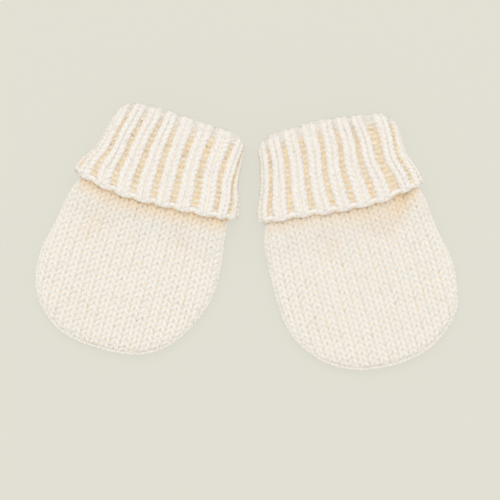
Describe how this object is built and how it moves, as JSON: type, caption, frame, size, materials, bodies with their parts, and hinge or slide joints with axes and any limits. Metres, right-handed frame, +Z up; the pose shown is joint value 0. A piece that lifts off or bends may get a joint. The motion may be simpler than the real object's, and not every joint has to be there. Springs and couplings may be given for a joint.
{
  "type": "pair of baby mittens",
  "caption": "Pair of knitted thumbless baby mittens laid flat side by side, with ribbed cuffs turned back.",
  "frame": {"origin": "middle of the pair on the surface it lies on: bottom centre of the bounding box", "axes": "+X from the left mitten to the right one as seen from above, +Y toward the cuffs, +Z up"},
  "size_m": [0.1782, 0.112, 0.013],
  "materials": {
    "ribbing": "soft cream wool, knitted in single rib",
    "knit": "soft cream wool, plain stocking stitch"
  },
  "bodies": {
    "root": {"left_cuff": "ribbing", "left_front_panel": "knit", "left_back_panel": "knit", "right_cuff": "ribbing", "right_front_panel": "knit", "right_back_panel": "knit"}
  },
  "joints": []
}
